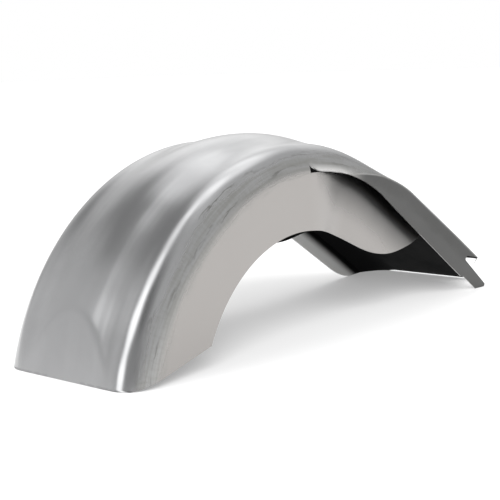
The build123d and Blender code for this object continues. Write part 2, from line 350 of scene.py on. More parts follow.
def tuck(k, turn, m):
    """Half width and roll radius of an inner wall, and its rise to the crown's domed underside."""
    t = m.ease((turn - TOP_ANGLE) / (TUCK_ANGLE - TOP_ANGLE))
    half = k.half_width - t * k.tuck
    roll = k.shoulder_radius + t * (TUCK_ROLL - k.shoulder_radius)
    top = (half - roll * (1.0 - cos(TUCK_SWEEP))) / (k.half_width - k.shoulder_radius)
    crest = m.positive(1.0 - top * top)
    lift = (1.0 - rolled_out(k, turn, 0.0, m)) * k.dome * crest * crest
    return half, roll, lift - t * TUCK_SINK


def wall_point(k, v, m):
    """Side and radius of a point of an inner wall, which moves in behind its lip."""
    half, roll, lift = tuck(k, v.turn, m)
    y = half - roll * (1.0 - m.cos(v.roll))
    return v.side * y, k.arc_radius + lift - roll * (1.0 - m.sin(v.roll)) - v.drop


def all_sizes(context):
    """The user's sizes with those that follow from them."""
    p = context.scene.fender_sizes
    k = SimpleNamespace(**{name: getattr(p, name) for name in FenderSizes.__annotations__})
    k.front_run = (ARC_Z + k.arc_radius * sin(FRONT_ANGLE)) / -cos(FRONT_ANGLE)
    k.tail_x = -sqrt(k.arc_radius**2 - ARC_Z**2)
    k.arc_x = CAD_BOX[0][0] - k.tail_x
    k.arch_radius = k.arc_radius - k.skirt_depth
    k.bend = k.arc_radius * (FRONT_ANGLE - TOP_ANGLE)
    return k


def around(radius, angle):
    """Point of the side view, from the arc's centre."""
    return np.array([-radius * np.cos(angle), radius * np.sin(angle)])


def along(k, run, depth):
    """Point of the side view on the straight front."""
    ahead = np.array([sin(FRONT_ANGLE), cos(FRONT_ANGLE)])
    return around(k.arc_radius - depth, FRONT_ANGLE) + run * ahead


def run_to(k, height, depth):
    """Distance past the arc at which a line this deep below the crown is down at a height."""
    return (along(k, 0.0, depth)[1] + ARC_Z - height) / -cos(FRONT_ANGLE)


def unroll(k, points):
    """Side-view points as distance past the top and depth below the crown's edges."""
    x, z = np.asarray(points, float).T
    angle = np.arctan2(z, -x)
    run = x * sin(FRONT_ANGLE) + z * cos(FRONT_ANGLE)
    front = run > 0.0
    deep = k.arc_radius + x * cos(FRONT_ANGLE) - z * sin(FRONT_ANGLE)
    distance = np.where(front, k.bend + run, k.arc_radius * (angle - TOP_ANGLE))
    return distance, np.where(front, deep, k.arc_radius - np.hypot(x, z))


def unit(direction):
    """A direction of length 1."""
    return np.array(direction) / np.linalg.norm(direction)


def curve_weights(count):
    """Shares of start, leaving, end and arriving at points along a smooth curve."""
    t = np.linspace(0, 1, count)[:, None]
    return 2 * t**3 - 3 * t**2 + 1, t**3 - 2 * t**2 + t, 3 * t**2 - 2 * t**3, t**3 - t**2


def hermite(a, b, leave, arrive):
    """Smooth curve from a to b with the given directions at its ends."""
    reach = np.linalg.norm(np.subtract(b, a))
    h = curve_weights(CURVE_POINTS)
    return h[0] * a + h[1] * unit(leave) * reach + h[2] * b + h[3] * unit(arrive) * reach


def smooth_curve(points, leave, arrive):
    """Curve of even bending through points, with the given directions at its ends."""
    p = np.asarray(points, float)
    d = np.linalg.norm(np.diff(p, axis=0), axis=1)
    n = len(p)
    a, b = np.eye(n), np.zeros_like(p)
    b[0], b[-1] = unit(leave), unit(arrive)
    for i in range(1, n - 1):
        a[i, i - 1 : i + 2] = d[i], 2 * (d[i - 1] + d[i]), d[i - 1]
        step = [(p[j + 1] - p[j]) / d[j] for j in (i - 1, i)]
        b[i] = 3 * (d[i] * step[0] + d[i - 1] * step[1])
    slope = np.linalg.solve(a, b)
    h = curve_weights(LOBE_POINTS)
    runs = [h[0] * p[i] + h[1] * slope[i] * d[i] + h[2] * p[i + 1] + h[3] * slope[i + 1] * d[i]
            for i in range(n - 1)]
    return np.vstack(runs)


def on_arch(k, angle):
    """Point of the wheel arch in the side view, from the arc's centre."""
    return np.array([ARCH_X - k.arch_radius * np.cos(angle),
                     ARCH_Z - ARC_Z + k.arch_radius * np.sin(angle)])


def arch_top(k):
    """Point of the wheel arch straight above the arc's centre."""
    return np.array([0.0, ARCH_Z - ARC_Z + sqrt(k.arch_radius**2 - ARCH_X**2)])


def lip_line(k, end_angle):
    """Lower edge of a lip from the open end of the slit to an angle."""
    low = k.arc_radius - k.lip_depth
    settle = TOP_ANGLE + NOTCH_TURN
    notch = hermite((0.0, low + NOTCH_RISE), around(low, settle), NOTCH_FALL,
                    (cos(NOTCH_TURN), -sin(NOTCH_TURN)))
    arc = [around(low, a) for a in np.linspace(settle, end_angle, CURVE_POINTS)]
    return np.vstack([notch, arc])


def right_edge(k):
    """Lower edge of the right lip and flange, with the step to its prong."""
    slope = FRONT_ANGLE - TOP_ANGLE + FLANGE_SPREAD
    ahead = np.array([cos(slope), -sin(slope)])
    up = np.array([sin(slope), cos(slope)])
    start = around(k.arc_radius - k.lip_depth, FRONT_ANGLE)
    step = start + ahead * ((start[1] + ARC_Z - PRONG_HEIGHT) / sin(slope))
    prong = step + (up + ahead) * PRONG_STEP
    return unroll(k, np.vstack([lip_line(k, FRONT_ANGLE), step, prong, prong + ahead * k.front_run]))


def left_edge(k):
    """Lower edge of the left lip and of its deeper flange."""
    deep = around(k.arc_radius - LEFT_DEPTH, FRONT_ANGLE)
    end = along(k, run_to(k, LEFT_HEIGHT, LEFT_DEPTH), LEFT_DEPTH)
    leave = (sin(LEFT_START), cos(LEFT_START))
    arrive = (sin(FRONT_ANGLE), cos(FRONT_ANGLE))
    sweep = hermite(around(k.arc_radius - k.lip_depth, LEFT_START), deep, leave, arrive)
    foot = np.array([end[0] + LEFT_FOOT_RUN, -ARC_Z])
    flat = np.array([cos(LEFT_FOOT_SLOPE), -sin(LEFT_FOOT_SLOPE)])
    toe = hermite(end, foot, arrive, flat)
    return unroll(k, np.vstack([lip_line(k, LEFT_START), sweep, toe, foot + flat * k.front_run]))


class Blank:
    """Flat pattern of the sheet: patches of facets that carry what the forming needs."""

    FIELDS = ("turn", "run", "across", "side", "roll", "drop", "flare")
    # Painted shade (scale) and painted highlights (bare and the lips' highlight), kept on the formed
    # sheet's points
    KEPT = ("scale", "bare", "worn")

    def __init__(self):
        self.columns = {name: [] for name in self.FIELDS + self.KEPT + ("u", "v")}
        self.faces = []
        self.count = 0

    def patch(self, side=1.0, **fields):
        """Adds a grid; rows go to the front and columns out from the crown, or to the left."""
        grids = {n: np.asarray(fields.get(n, 0.0), float) for n in self.columns if n != "side"}
        grids["side"] = np.array(float(side))
        shape = np.broadcast_shapes(*[g.shape for g in grids.values()])
        for name, grid in grids.items():
            self.columns[name].append(np.broadcast_to(grid, shape).ravel())
        index = np.arange(self.count, self.count + shape[0] * shape[1]).reshape(shape)
        self.count += index.size
        quads = [index[:-1, :-1], index[1:, :-1], index[1:, 1:], index[:-1, 1:]]
        quads = np.stack([q.ravel() for q in quads], 1)
        self.faces.append(quads if side > 0 else quads[:, ::-1])

    def mesh(self, name):
        """The pattern laid out flat, as a mesh with its numbers stored on the points."""
        data = {n: np.concatenate(c) for n, c in self.columns.items()}
        faces = np.concatenate(self.faces)
        mesh = bpy.data.meshes.new(name)
        flat = np.stack([data["u"], data["v"], np.zeros(self.count)], 1)
        mesh.from_pydata(flat.tolist(), [], faces.tolist())
        for field in self.FIELDS + self.KEPT:
            layer = mesh.attributes.new(field, "FLOAT", "POINT")
            layer.data.foreach_set("value", data[field].astype(np.float32))
        uv = mesh.uv_layers.new(name="sheet")
        corner = np.zeros(len(mesh.loops), np.int32)
        mesh.loops.foreach_get("vertex_index", corner)
        uv.data.foreach_set("uv", flat[corner, :2].astype(np.float32).ravel())
        return mesh


def front_stations(k, distance):
    """Angle and straight run of stations at distances past the top."""
    turn = np.minimum(TOP_ANGLE + distance / k.arc_radius, FRONT_ANGLE)
    return turn, np.maximum(distance - k.bend, 0.0)


def tail_turn(k, r):
    """Angle at which a line of the sheet at radius r leaves the floor or the skirt's cut."""
    corner = on_arch(k, ARCH_CORNER)
    foot = np.array([k.tail_x + TAIL_REST, -ARC_Z])
    r = np.asarray(r, float)
    step = corner - foot
    a, b = step @ step, foot @ step
    gap = np.maximum(b * b - a * (foot @ foot - r * r), 0.0)
    share = np.clip((-b - np.sqrt(gap)) / a, 0.0, 1.0)
    point = foot[:, None] + step[:, None] * share
    return np.where(r > np.hypot(*foot), np.arcsin(-ARC_Z / r), np.arctan2(point[1], -point[0]))


def roll_start(k, side, edge):
    """Distance past the top at which the rim has risen to the lip's lower edge."""
    low, high = 0.0, k.bend
    for _ in range(HALVINGS):
        middle = (low + high) / 2
        rim_drop = section(k, *front_stations(k, middle), side, NUMBERS)[2]
        low, high = (middle, high) if rim_drop > np.interp(middle, *edge) else (low, middle)
    return low


def crowded(count):
    """Shares from 0 to 1 that lie closer together towards 1."""
    return 1 - (1 - np.linspace(0, 1, count + 1)) ** CROWDING


def flat_reach(k, depth):
    """Flat distance of a skirt's point from the crown's middle; the shoulder's bend replaces two radii."""
    return k.half_width + k.shoulder_radius * (radians(90) - 2) + depth


def add_rear(blank, k):
    """Main arc: crown, both shoulders and both skirts, from the tail to the top."""
    rows = np.linspace(0, 1, REAR_ROWS + 1)[:, None]
    crown_half = k.half_width - k.shoulder_radius
    across = np.linspace(-1, 1, CROWN_COLUMNS + 1)[None, :]
    start = np.arcsin(-ARC_Z / (k.arc_radius + k.dome * (1 - across**2) ** 2))
    turn = start + (TOP_ANGLE - start) * rows
    blank.patch(turn=turn, across=across, u=turn * k.arc_radius, v=across * crown_half)
    split = np.arccos(1 - (k.lip_depth - NOTCH_RISE) / k.shoulder_radius)
    upper = split * crowded(SHOULDER_COLUMNS)
    lower = np.linspace(split, radians(90), ROOT_COLUMNS + 1)
    rim_radius = k.arc_radius - k.shoulder_radius
    rim_turn = tail_turn(k, np.array([rim_radius]))[0]
    rim = np.stack(around(rim_radius, rim_turn + (TOP_ANGLE - rim_turn) * rows), -1)
    arch_end = np.arccos(ARCH_X / k.arch_radius)
    arch = np.stack(on_arch(k, ARCH_CORNER + (arch_end - ARCH_CORNER) * rows), -1)
    share = np.linspace(0, 1, SKIRT_COLUMNS + 1)[None, :, None]
    x, z = np.moveaxis((1 - share) * rim + share * arch, -1, 0)
    skirt_turn = np.arctan2(z, -x)
    drop = rim_radius - np.hypot(x, z)
    for side in (-1.0, 1.0):
        for roll in (upper, lower):
            start = tail_turn(k, k.arc_radius - k.shoulder_radius * (1 - np.cos(roll)))
            turn = start + (TOP_ANGLE - start) * rows
            blank.patch(side, turn=turn, across=side, roll=roll, u=turn * k.arc_radius,
                        v=side * (crown_half + k.shoulder_radius * roll))
        blank.patch(side, turn=skirt_turn, across=side, roll=radians(90), drop=drop,
                    u=skirt_turn * k.arc_radius, v=side * flat_reach(k, k.shoulder_radius + drop))


def add_front(blank, k):
    """Front end: crown rolling out flat, lips turning into the side flanges."""
    edges = {-1.0: right_edge(k), 1.0: left_edge(k)}
    starts = {side: roll_start(k, side, edge) for side, edge in edges.items()}
    stops = [0.0, *sorted(starts.values()), k.bend + k.front_run + TRIM_SPARE]
    counts = (LIP_ROWS, LIP_ROWS, FRONT_ROWS)
    steps = [np.linspace(a, b, n + 1)[1:] for a, b, n in zip(stops, stops[1:], counts)]
    distance = np.concatenate([[0.0], *steps])[:, None]
    turn, run = front_stations(k, distance)
    crown_half = k.half_width - k.shoulder_radius
    u = TOP_ANGLE * k.arc_radius + distance
    across = np.linspace(-1, 1, CROWN_COLUMNS + 1)[None, :]
    blank.patch(turn=turn, run=run, across=across, u=u, v=across * crown_half)
    shares = crowded(SHOULDER_COLUMNS)
    low = np.clip((shares - LIP_EDGE) / (1 - LIP_EDGE), 0.0, 1.0)
    for side, edge in edges.items():
        start = starts[side]
        top, _, rim_drop, roll, _ = section(k, turn, run, side, NUMBERS)
        depth = np.interp(distance, *edge)
        fall = np.minimum(np.where(distance < start, depth, rim_drop), rim_drop)
        sweep = np.arccos(1 - fall / roll)
        angle = sweep * shares
        out = side * (crown_half + roll * angle)
        lip = ease_number(distance / LIP_FADE) * ease_number((start - distance) / LIP_FADE)
        # Painted highlight along the lip's lower edge, fading out past the roll's start
        lip_highlight = ease_number(distance / LIP_HIGHLIGHT_IN) * ease_number((start + LIP_HIGHLIGHT_PAST - distance) / LIP_HIGHLIGHT_OUT)
        blank.patch(side, turn=turn, run=run, across=side, roll=angle, flare=LIP_FLARE * lip * low**2,
                    worn=lip_highlight * low, u=u, v=out)
        rows = slice(int(np.argmin(np.abs(distance - start))), None)
        deep = (top - rim_drop - (k.arc_radius - depth))[rows]
        drop = np.maximum(deep, 0.0) * np.linspace(0, 1, FLANGE_COLUMNS + 1) ** CROWDING
        # Painted shade on the flange, growing past the roll's start and down from the rim
        scale = ease_number((distance[rows] - start) / FLANGE_SHADE_RUN) * ease_number(drop / FLANGE_SHADE_DROP)
        # The flange's inside gets a painted highlight strip towards its lower edge
        blank.patch(side, turn=turn[rows], run=run[rows], across=side, roll=sweep[rows], drop=drop,
                    scale=scale, bare=ease_number((drop - HIGHLIGHT_FROM) / HIGHLIGHT_RUN),
                    u=u[rows], v=out[rows, -1:] + side * drop)


def grown(distance, amount, run):
    """An amount that comes slowly over a run."""
    return amount * ease_number(distance / run)


def painted_wall_shade(past, below):
    """Painted shade on an inner wall under its lip, by the distance past the top and the depth below the
    slit.
    """
    limit = sum(grown(past, *step) for step in WALL_SHADE_DEPTHS)
    strength = WALL_SHADE + grown(past, *WALL_SHADE_MORE)
    return strength * ease_number((limit - below) / WALL_SHADE_SOFT) + grown(past, *WALL_SHADE_ALL)


def add_walls(blank, k):
    """Inner walls: lobed lower edges, slits behind the lips, tops rolled in under the crown."""
    lobe = [arch_top(k)] + [around(k.arc_radius - depth, radians(angle)) for angle, depth in LOBE]
    ahead = lobe[-1] + np.array(LOBE_ARRIVE) * k.front_run / 2
    edge = unroll(k, np.vstack([smooth_curve(lobe, LOBE_LEAVE, LOBE_ARRIVE), ahead]))

    def rise_to(depth):
        last = np.argmax(edge[1] < depth)
        return np.interp(depth, edge[1][last - 1 : last + 1][::-1], edge[0][last - 1 : last + 1][::-1])

    slit_depth = k.lip_depth + SLIT
    slit_end = k.arc_radius * SLIT_TURN
    meet = rise_to(slit_depth)
    end = min(rise_to(TUCK_ROLL * (1 - sin(TUCK_SWEEP))), k.bend + k.front_run / 2)
    shared = np.linspace(slit_end, meet, WALL_ROWS + 1)
    low = np.concatenate([np.linspace(0, slit_end, SLIT_ROWS + 1), shared[1:]])[:, None]
    high = np.concatenate([shared, np.linspace(meet, end, WALL_END_ROWS + 1)[1:]])[:, None]
    for side in (-1.0, 1.0):
        turn, run = front_stations(k, low)
        _, roll, lift = tuck(k, turn, NUMBERS)
        below = np.maximum(np.interp(low, *edge) - slit_depth, 0.0) * np.linspace(0, 1, WALL_COLUMNS + 1)
        depth = slit_depth + below
        height = roll - lift - depth
        # The wall gets painted shade below its lip
        blank.patch(side, turn=turn, run=run, roll=np.arcsin(np.clip(height / roll, 0, 1)),
                    drop=np.maximum(-height, 0.0), scale=painted_wall_shade(low, below),
                    u=TOP_ANGLE * k.arc_radius + low, v=side * flat_reach(k, depth))
        turn, run = front_stations(k, high)
        _, roll, lift = tuck(k, turn, NUMBERS)
        depth = np.minimum(np.interp(high, *edge), slit_depth)
        foot = np.arcsin(np.clip(1 - (depth + lift) / roll, 0, 1))
        turned = TUCK_SWEEP + (foot - TUCK_SWEEP) * np.linspace(0, 1, TUCK_COLUMNS + 1)
        # The rolled-in top gets painted shade under the crown
        blank.patch(side, turn=turn, run=run, roll=turned, scale=TUCK_SHADE,
                    u=TOP_ANGLE * k.arc_radius + high, v=side * (k.half_width - roll * turned))


def forming_tree(name, k, point, material):
    """Node tree that bends a blank: across into its section, along into the arc and straight front."""
    tree = bpy.data.node_groups.new(name, "GeometryNodeTree")
    face = tree.interface
    face.new_socket("Geometry", in_out="INPUT", socket_type="NodeSocketGeometry")
    face.new_socket("Geometry", in_out="OUTPUT", socket_type="NodeSocketGeometry")
    sizes = sorted(vars(k))
    for size in sizes:
        socket = face.new_socket(size, in_out="INPUT", socket_type="NodeSocketFloat")
        socket.default_value = getattr(k, size)
    source = tree.nodes.new("NodeGroupInput")
    inputs = SimpleNamespace(**{s: Field(tree, source.outputs[s]) for s in sizes})
    fields = {}
    for field in Blank.FIELDS:
        node = tree.nodes.new("GeometryNodeInputNamedAttribute")
        node.data_type = "FLOAT"
        node.inputs["Name"].default_value = field
        fields[field] = Field(tree, node.outputs["Attribute"])
    v = SimpleNamespace(**fields)
    y, r = point(inputs, v, FIELDS)
    z = r * FIELDS.sin(v.turn) + v.run * FIELDS.cos(v.turn) + ARC_Z
    x = v.run * FIELDS.sin(v.turn) - r * FIELDS.cos(v.turn)
    tail = inputs.tail_x + z * FIELDS.tan(inputs.tail_lean)
    x = x.math("SMOOTH_MAX", tail, TAIL_SOFT) + inputs.arc_x
    place = tree.nodes.new("ShaderNodeCombineXYZ")
    for socket, value in zip(place.inputs, (x, y, z)):
        tree.links.new(value.socket, socket)
    move = tree.nodes.new("GeometryNodeSetPosition")
    weld = tree.nodes.new("GeometryNodeMergeByDistance")
    weld.inputs["Distance"].default_value = WELD
    smooth = tree.nodes.new("GeometryNodeSetShadeSmooth")
    real = tree.nodes.new("GeometryNodeRealizeInstances")
    paint = tree.nodes.new("GeometryNodeSetMaterial")
    paint.inputs["Material"].default_value = material
    sink = tree.nodes.new("NodeGroupOutput")
    tree.links.new(place.outputs[0], move.inputs["Position"])
    chain = [source, move, weld, smooth, real, paint, sink]
    for a, b in zip(chain, chain[1:]):
        tree.links.new(a.outputs[0], b.inputs[0])
    return tree


def settle(context, obj):
    """Replaces an object's mesh by what its modifiers make of it."""
    context.view_layer.update()
    graph = context.evaluated_depsgraph_get()
    mesh = bpy.data.meshes.new_from_object(obj.evaluated_get(graph))
    mesh.name = obj.name
    obj.modifiers.clear()
    obj.data = mesh
    return mesh


def form(context, name, blank, point, k, materials):
    """Bends a blank by its node tree and returns the formed sheet, still without thickness."""
    obj = bpy.data.objects.new(name, blank.mesh(name))
    context.scene.collection.objects.link(obj)
    modifier = obj.modifiers.new("forming", "NODES")
    modifier.node_group = forming_tree(name + "_forming", k, point, materials[0])
    for item in modifier.node_group.interface.items_tree:
        if item.in_out == "INPUT" and item.socket_type == "NodeSocketFloat":
            modifier[item.identifier] = getattr(k, item.name)
    mesh = settle(context, obj)
    mesh.materials.clear()
    for material in materials:
        mesh.materials.append(material)
    return obj


def cut(obj, place, keep):
    """Shears the sheet along a plane; keep points to the side that stays."""
    bm = bmesh.new()
    bm.from_mesh(obj.data)
    parts = bm.verts[:] + bm.edges[:] + bm.faces[:]
    bmesh.ops.bisect_plane(bm, geom=parts, plane_co=place, plane_no=keep, clear_inner=True)
    bm.to_mesh(obj.data)
    bm.free()


def fork_outline(k):
    """Side view of the open slot above the prong, closed well ahead of the fender."""
    hub = along(k, run_to(k, SLOT_HEIGHT, SLOT_DEPTH), SLOT_DEPTH) + np.array([k.arc_x, ARC_Z])
    turns = np.linspace(radians(90) - SLOT_UPPER, radians(270) - SLOT_LOWER, SLOT_POINTS)
    outline = [hub + k.slot_radius * np.array([cos(a), sin(a)]) for a in turns]
    low = outline[-1]
    trim = PRONG_ROUND / tan(SLOT_LOWER / 2)
    toe = np.array([low[0] + low[1] / tan(SLOT_LOWER) - trim, PRONG_ROUND])
    for a in np.linspace(radians(90) - SLOT_LOWER, radians(-90), TOE_POINTS):
        outline.append(toe + PRONG_ROUND * np.array([cos(a), sin(a)]))
    far = hub[0] + FORK_AHEAD
    outline += [np.array([outline[-1][0], FORK_BELOW]), np.array([far, FORK_BELOW])]
    outline.append(np.array([far, outline[0][1] - (far - outline[0][0]) * tan(SLOT_UPPER)]))
    return outline


def within(outline, x, z):
    """True for a point inside a closed outline."""
    hits = 0
    for (xa, za), (xb, zb) in zip(outline, outline[1:] + outline[:1]):
        if (za > z) != (zb > z) and x < xa + (z - za) / (zb - za) * (xb - xa):
            hits += 1
    return hits % 2 == 1


def cut_fork(obj, k):
    """Shears the slot out of the right flange and the crown's corner over it."""
    outline = fork_outline(k)
    bm = bmesh.new()
    bm.from_mesh(obj.data)

    def shear(faces, place, normal):
        parts = {*faces, *(e for f in faces for e in f.edges), *(v for f in faces for v in f.verts)}
        bmesh.ops.bisect_plane(bm, geom=list(parts), plane_co=place, plane_no=normal)

    def right_faces():
        spots = [(f, f.calc_center_median()) for f in bm.faces]
        behind = outline[0][0] - FORK_ZONE
        return [(f, c) for f, c in spots if c.y < FORK_INSET - SLOT_INNER and c.x > behind]

    shear([f for f, _ in right_faces()], (0, -SLOT_INNER, 0), (0, 1, 0))
    for a, b in zip(outline, outline[1:] + outline[:1]):
        step = b - a
        length = np.linalg.norm(step)
        close = []
        for f, c in right_faces():
            share = np.clip(((c.x - a[0]) * step[0] + (c.z - a[1]) * step[1]) / length**2, 0, 1)
            if np.hypot(*(a + share * step - (c.x, c.z))) < SHEAR_REACH:
                close.append(f)
        shear(close, (a[0], 0, a[1]), (-step[1] / length, 0, step[0] / length))
    gone = [f for f, c in right_faces() if c.y < -SLOT_INNER and within(outline, c.x, c.z)]
    bmesh.ops.delete(bm, geom=gone, context="FACES")
    bm.to_mesh(obj.data)
    bm.free()


def thicken(context, obj, k):
    """Gives the sheet its thickness on the inside, sheared edges with their own finish."""
    solid = obj.modifiers.new("sheet", "SOLIDIFY")
    solid.thickness = k.sheet
    solid.offset = -1.0
    solid.use_even_offset = True
    solid.material_offset_rim = 1
    solid.material_offset = 2
    mesh = settle(context, obj)
    # Nothing goes below the floor
    spots = np.zeros(len(mesh.vertices) * 3, np.float32)
    mesh.vertices.foreach_get("co", spots)
    spots[2::3] = np.maximum(spots[2::3], 0.0)
    mesh.vertices.foreach_set("co", spots)
    bm = bmesh.new()
    bm.from_mesh(mesh)
    # Loose rests of the shearing go, and the sheared edges stay crisp
    bmesh.ops.delete(bm, geom=[e for e in bm.edges if not e.link_faces], context="EDGES")
    bmesh.ops.delete(bm, geom=[v for v in bm.verts if not v.link_faces], context="VERTS")
    for e in bm.edges:
        e.smooth = len({f.material_index for f in e.link_faces}) == 1
    for f in bm.faces:
        f.smooth = True
    bm.to_mesh(mesh)
    bm.free()
    for name in Blank.FIELDS:
        if name in mesh.attributes:
            mesh.attributes.remove(mesh.attributes[name])


def shader(name):
    """New material with its node tree and main shader."""
    material = bpy.data.materials.new(name)
    material.use_nodes = True
    tree = material.node_tree
    return material, tree, tree.nodes["Principled BSDF"]


def feed(tree, node, inputs):
    """Feeds a node's inputs by their names."""
    for name, value in inputs.items():
        plug(tree, value, node.inputs[name])


def object_place(tree):
    """Place on the object, for patterns that have no direction."""
    return tree.nodes.new("ShaderNodeTexCoord").outputs["Object"]


def noise(tree, vector, scale, detail, rough=0.5):
    """Cloudy noise; scale is in repeats per metre."""
    node = tree.nodes.new("ShaderNodeTexNoise")
    feed(tree, node, {"Vector": vector, "Scale": scale, "Detail": detail, "Roughness": rough})
    return Field(tree, node.outputs["Fac"])


def stretched(tree, vector, scale, detail, rough=0.5):
    """Noise drawn out along one way of the sheet; scale is in repeats per metre, along and across."""
    node = tree.nodes.new("ShaderNodeMapping")
    feed(tree, node, {"Vector": vector, "Scale": (*scale, 1.0)})
    return noise(tree, node.outputs[0], 1.0, detail, rough)


def spread(value, low, high, out_low=0.0, out_high=1.0):
    """Soft step between two levels while a number goes from low to high."""
    node = value.tree.nodes.new("ShaderNodeMapRange")
    node.interpolation_type = "SMOOTHSTEP"
    for socket, number in zip(node.inputs, (value, low, high, out_low, out_high)):
        plug(value.tree, number, socket)
    return Field(value.tree, node.outputs[0])


def blend(share, a, b):
    """Mix of two colours, each a node's output or three numbers."""
    node = share.tree.nodes.new("ShaderNodeMix")
    node.data_type = "RGBA"
    plug(share.tree, share, node.inputs[0])
    for colour, socket in ((a, node.inputs[6]), (b, node.inputs[7])):
        made = isinstance(colour, bpy.types.NodeSocket)
        plug(share.tree, colour if made else (*colour, 1.0), socket)
    return node.outputs[2]


def shaded(colour, share):
    """A colour made darker."""
    return [c * share for c in colour]


def bump(height, strength, distance, normal=None):
    """Relief of a number, on a plain surface or over other relief."""
    node = height.tree.nodes.new("ShaderNodeBump")
    feed(height.tree, node, {"Height": height, "Strength": strength, "Distance": distance})
    if normal:
        plug(height.tree, normal, node.inputs["Normal"])
    return node.outputs[0]


def named(tree, name):
    """A number stored on the sheet's points."""
    node = tree.nodes.new("ShaderNodeAttribute")
    node.attribute_name = name
    return Field(tree, node.outputs["Fac"])


def part_of(tree, vector, axis):
    """One number of a vector."""
    node = tree.nodes.new("ShaderNodeSeparateXYZ")
    plug(tree, vector, node.inputs[0])
    return Field(tree, node.outputs[axis])


def bare_steel(finish):
    """Satin bare sheet: hazy patches, fine rolling grain, rippled draw marks under the shoulders, with
    painted shade on the skirts, flanges and inner walls and a painted highlight on the lips.
    """
    material, tree, main = shader("bare_steel")
    sheet = tree.nodes.new("ShaderNodeUVMap")
    sheet.uv_map = "sheet"
    flat = sheet.outputs[0]
    haze = noise(tree, object_place(tree), scale=7.0, detail=4.0, rough=0.6)
    wander = stretched(tree, flat, WANDER, detail=4.0, rough=0.65)
    streaks = stretched(tree, flat, STREAKS, detail=3.0, rough=0.6)
    ripples = stretched(tree, flat, RIPPLES, detail=2.0)
    waves = stretched(tree, flat, WAVES, detail=1.5)
    grain = stretched(tree, flat, GRAIN, detail=3.0)
    broken = spread(stretched(tree, flat, BREAKS, detail=3.0), 0.42, 0.62)
    reach = part_of(tree, flat, "Y").math("ABSOLUTE")
    ragged = reach - wander * WANDER_REACH
    band = spread(ragged, *BAND_COMES) * spread(ragged, *BAND_GOES, 1.0, 0.0)
    mark = streaks + ripples * RIPPLE_SHARE
    scale = named(tree, "scale")
    colour = blend(spread(haze, 0.35, 0.7), finish.steel, finish.steel_dull)
    # Painted shade: the skirts darker and warmer than the crown
    colour = blend(spread(reach, *SKIRT_SHADE_COMES), colour, finish.skirt)
    colour = blend(band * spread(mark, 0.46, 0.82, 0.1, 1.0), colour, finish.drawn)
    for line in RAGGED_LINES:
        rise = spread(ragged, line - LINE_COMES, line)
        fall = spread(ragged, line, line + LINE_GOES, 1.0, 0.0)
        colour = blend(rise * fall * broken, colour, shaded(finish.drawn, 0.72))
    # Painted shade on the flanges and inner walls
    colour = blend(scale, colour, finish.scale)
    # Painted highlight along the lips' lower edges
    colour = blend(named(tree, "worn"), colour, finish.polished)
    rough = spread(haze, 0.3, 0.75, finish.roughness - 0.03, finish.roughness + 0.05)
    rough = rough + band * BAND_HAZE + scale * PAINTED_SHADE_HAZE
    normal = bump(waves, 1.0, WAVE_DEPTH)
    normal = bump(band * mark, finish.marks, MARK_DEPTH, normal)
    normal = bump(grain, 0.05, GRAIN_DEPTH, normal)
    feed(tree, main, {"Base Color": colour, "Metallic": 1.0, "Roughness": rough, "Normal": normal})
    return material


def cut_edge(finish):
    """Sheared edge of the sheet: brighter, with fine shear lines."""
    material, tree, main = shader("cut_edge")
    lines = noise(tree, object_place(tree), scale=420.0, detail=3.0)
    colour = blend(lines, shaded(finish.cut_edge, 0.86), finish.cut_edge)
    rough = spread(lines, 0.3, 0.7, 0.28, 0.42)
    normal = bump(lines, 0.15, SHEAR_DEPTH)
    feed(tree, main, {"Base Color": colour, "Metallic": 1.0, "Roughness": rough, "Normal": normal})
    return material


def inside_shade_and_highlight(finish):
    """Inside of the sheet: dull, near-black painted shade in cloudy patches, with painted highlight strips
    along the flanges.
    """
    material, tree, main = shader("inside_shade_and_highlight")
    cloud = noise(tree, object_place(tree), scale=16.0, detail=5.0, rough=0.6)
    bare = named(tree, "bare")
    # Painted shade over the inside, then painted highlight strips along the flanges
    colour = blend(spread(cloud, 0.3, 0.7), finish.inside, shaded(finish.inside, 0.7))
    colour = blend(bare, colour, finish.polished)
    rough = spread(cloud, 0.3, 0.7, 0.40, 0.52) + bare * HIGHLIGHT_HAZE
    feed(tree, main, {"Base Color": colour, "Roughness": rough, "Specular IOR Level": 0.03})
    return material


def steel_materials(context):
    """Sheet, cut edge and inside, made once."""
    finish = context.scene.fender_finish
    makers = {"bare_steel": bare_steel, "cut_edge": cut_edge, "inside_shade_and_highlight": inside_shade_and_highlight}
    return [bpy.data.materials.get(name) or make(finish) for name, make in makers.items()]


class FENDER_OT_sheet(bpy.types.Operator):
    """Form the outer sheet: crown, shoulders, skirts, tail panel, lips, flanges and fork"""

    bl_idname = "fender.sheet"
    bl_label = "Outer Sheet"

    def execute(self, context):
        k = all_sizes(context)
        materials = steel_materials(context)
        blank = Blank()
        add_rear(blank, k)
        add_front(blank, k)
        obj = form(context, "fender_sheet", blank, sheet_point, k, materials)
        crown_end = k.arc_radius - FRONT_DROP + ARC_Z * sin(FRONT_ANGLE)
        front_x = k.arc_x - crown_end / cos(FRONT_ANGLE) - FRONT_TRIM
        cut(obj, (front_x, 0, 0), (-1, 0, 0))
        cut(obj, (0, 0, 0), (0, 0, 1))
        cut_fork(obj, k)
        thicken(context, obj, k)
        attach(obj, "root")
        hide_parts("fender_shell")
        return {"FINISHED"}


class FENDER_OT_walls(bpy.types.Operator):
    """Form the two inner walls that run on from the skirts behind the lips"""

    bl_idname = "fender.walls"
    bl_label = "Inner Walls"

    def execute(self, context):
        k = all_sizes(context)
        blank = Blank()
        add_walls(blank, k)
        obj = form(context, "inner_walls", blank, wall_point, k, steel_materials(context))
        thicken(context, obj, k)
        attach(obj, "root")
        return {"FINISHED"}


def toward(azimuth, height):
    """Direction by its azimuth and its height over the floor, in degrees."""
    a, h = radians(azimuth), radians(height)
    return cos(a) * cos(h), sin(a) * cos(h), sin(h)


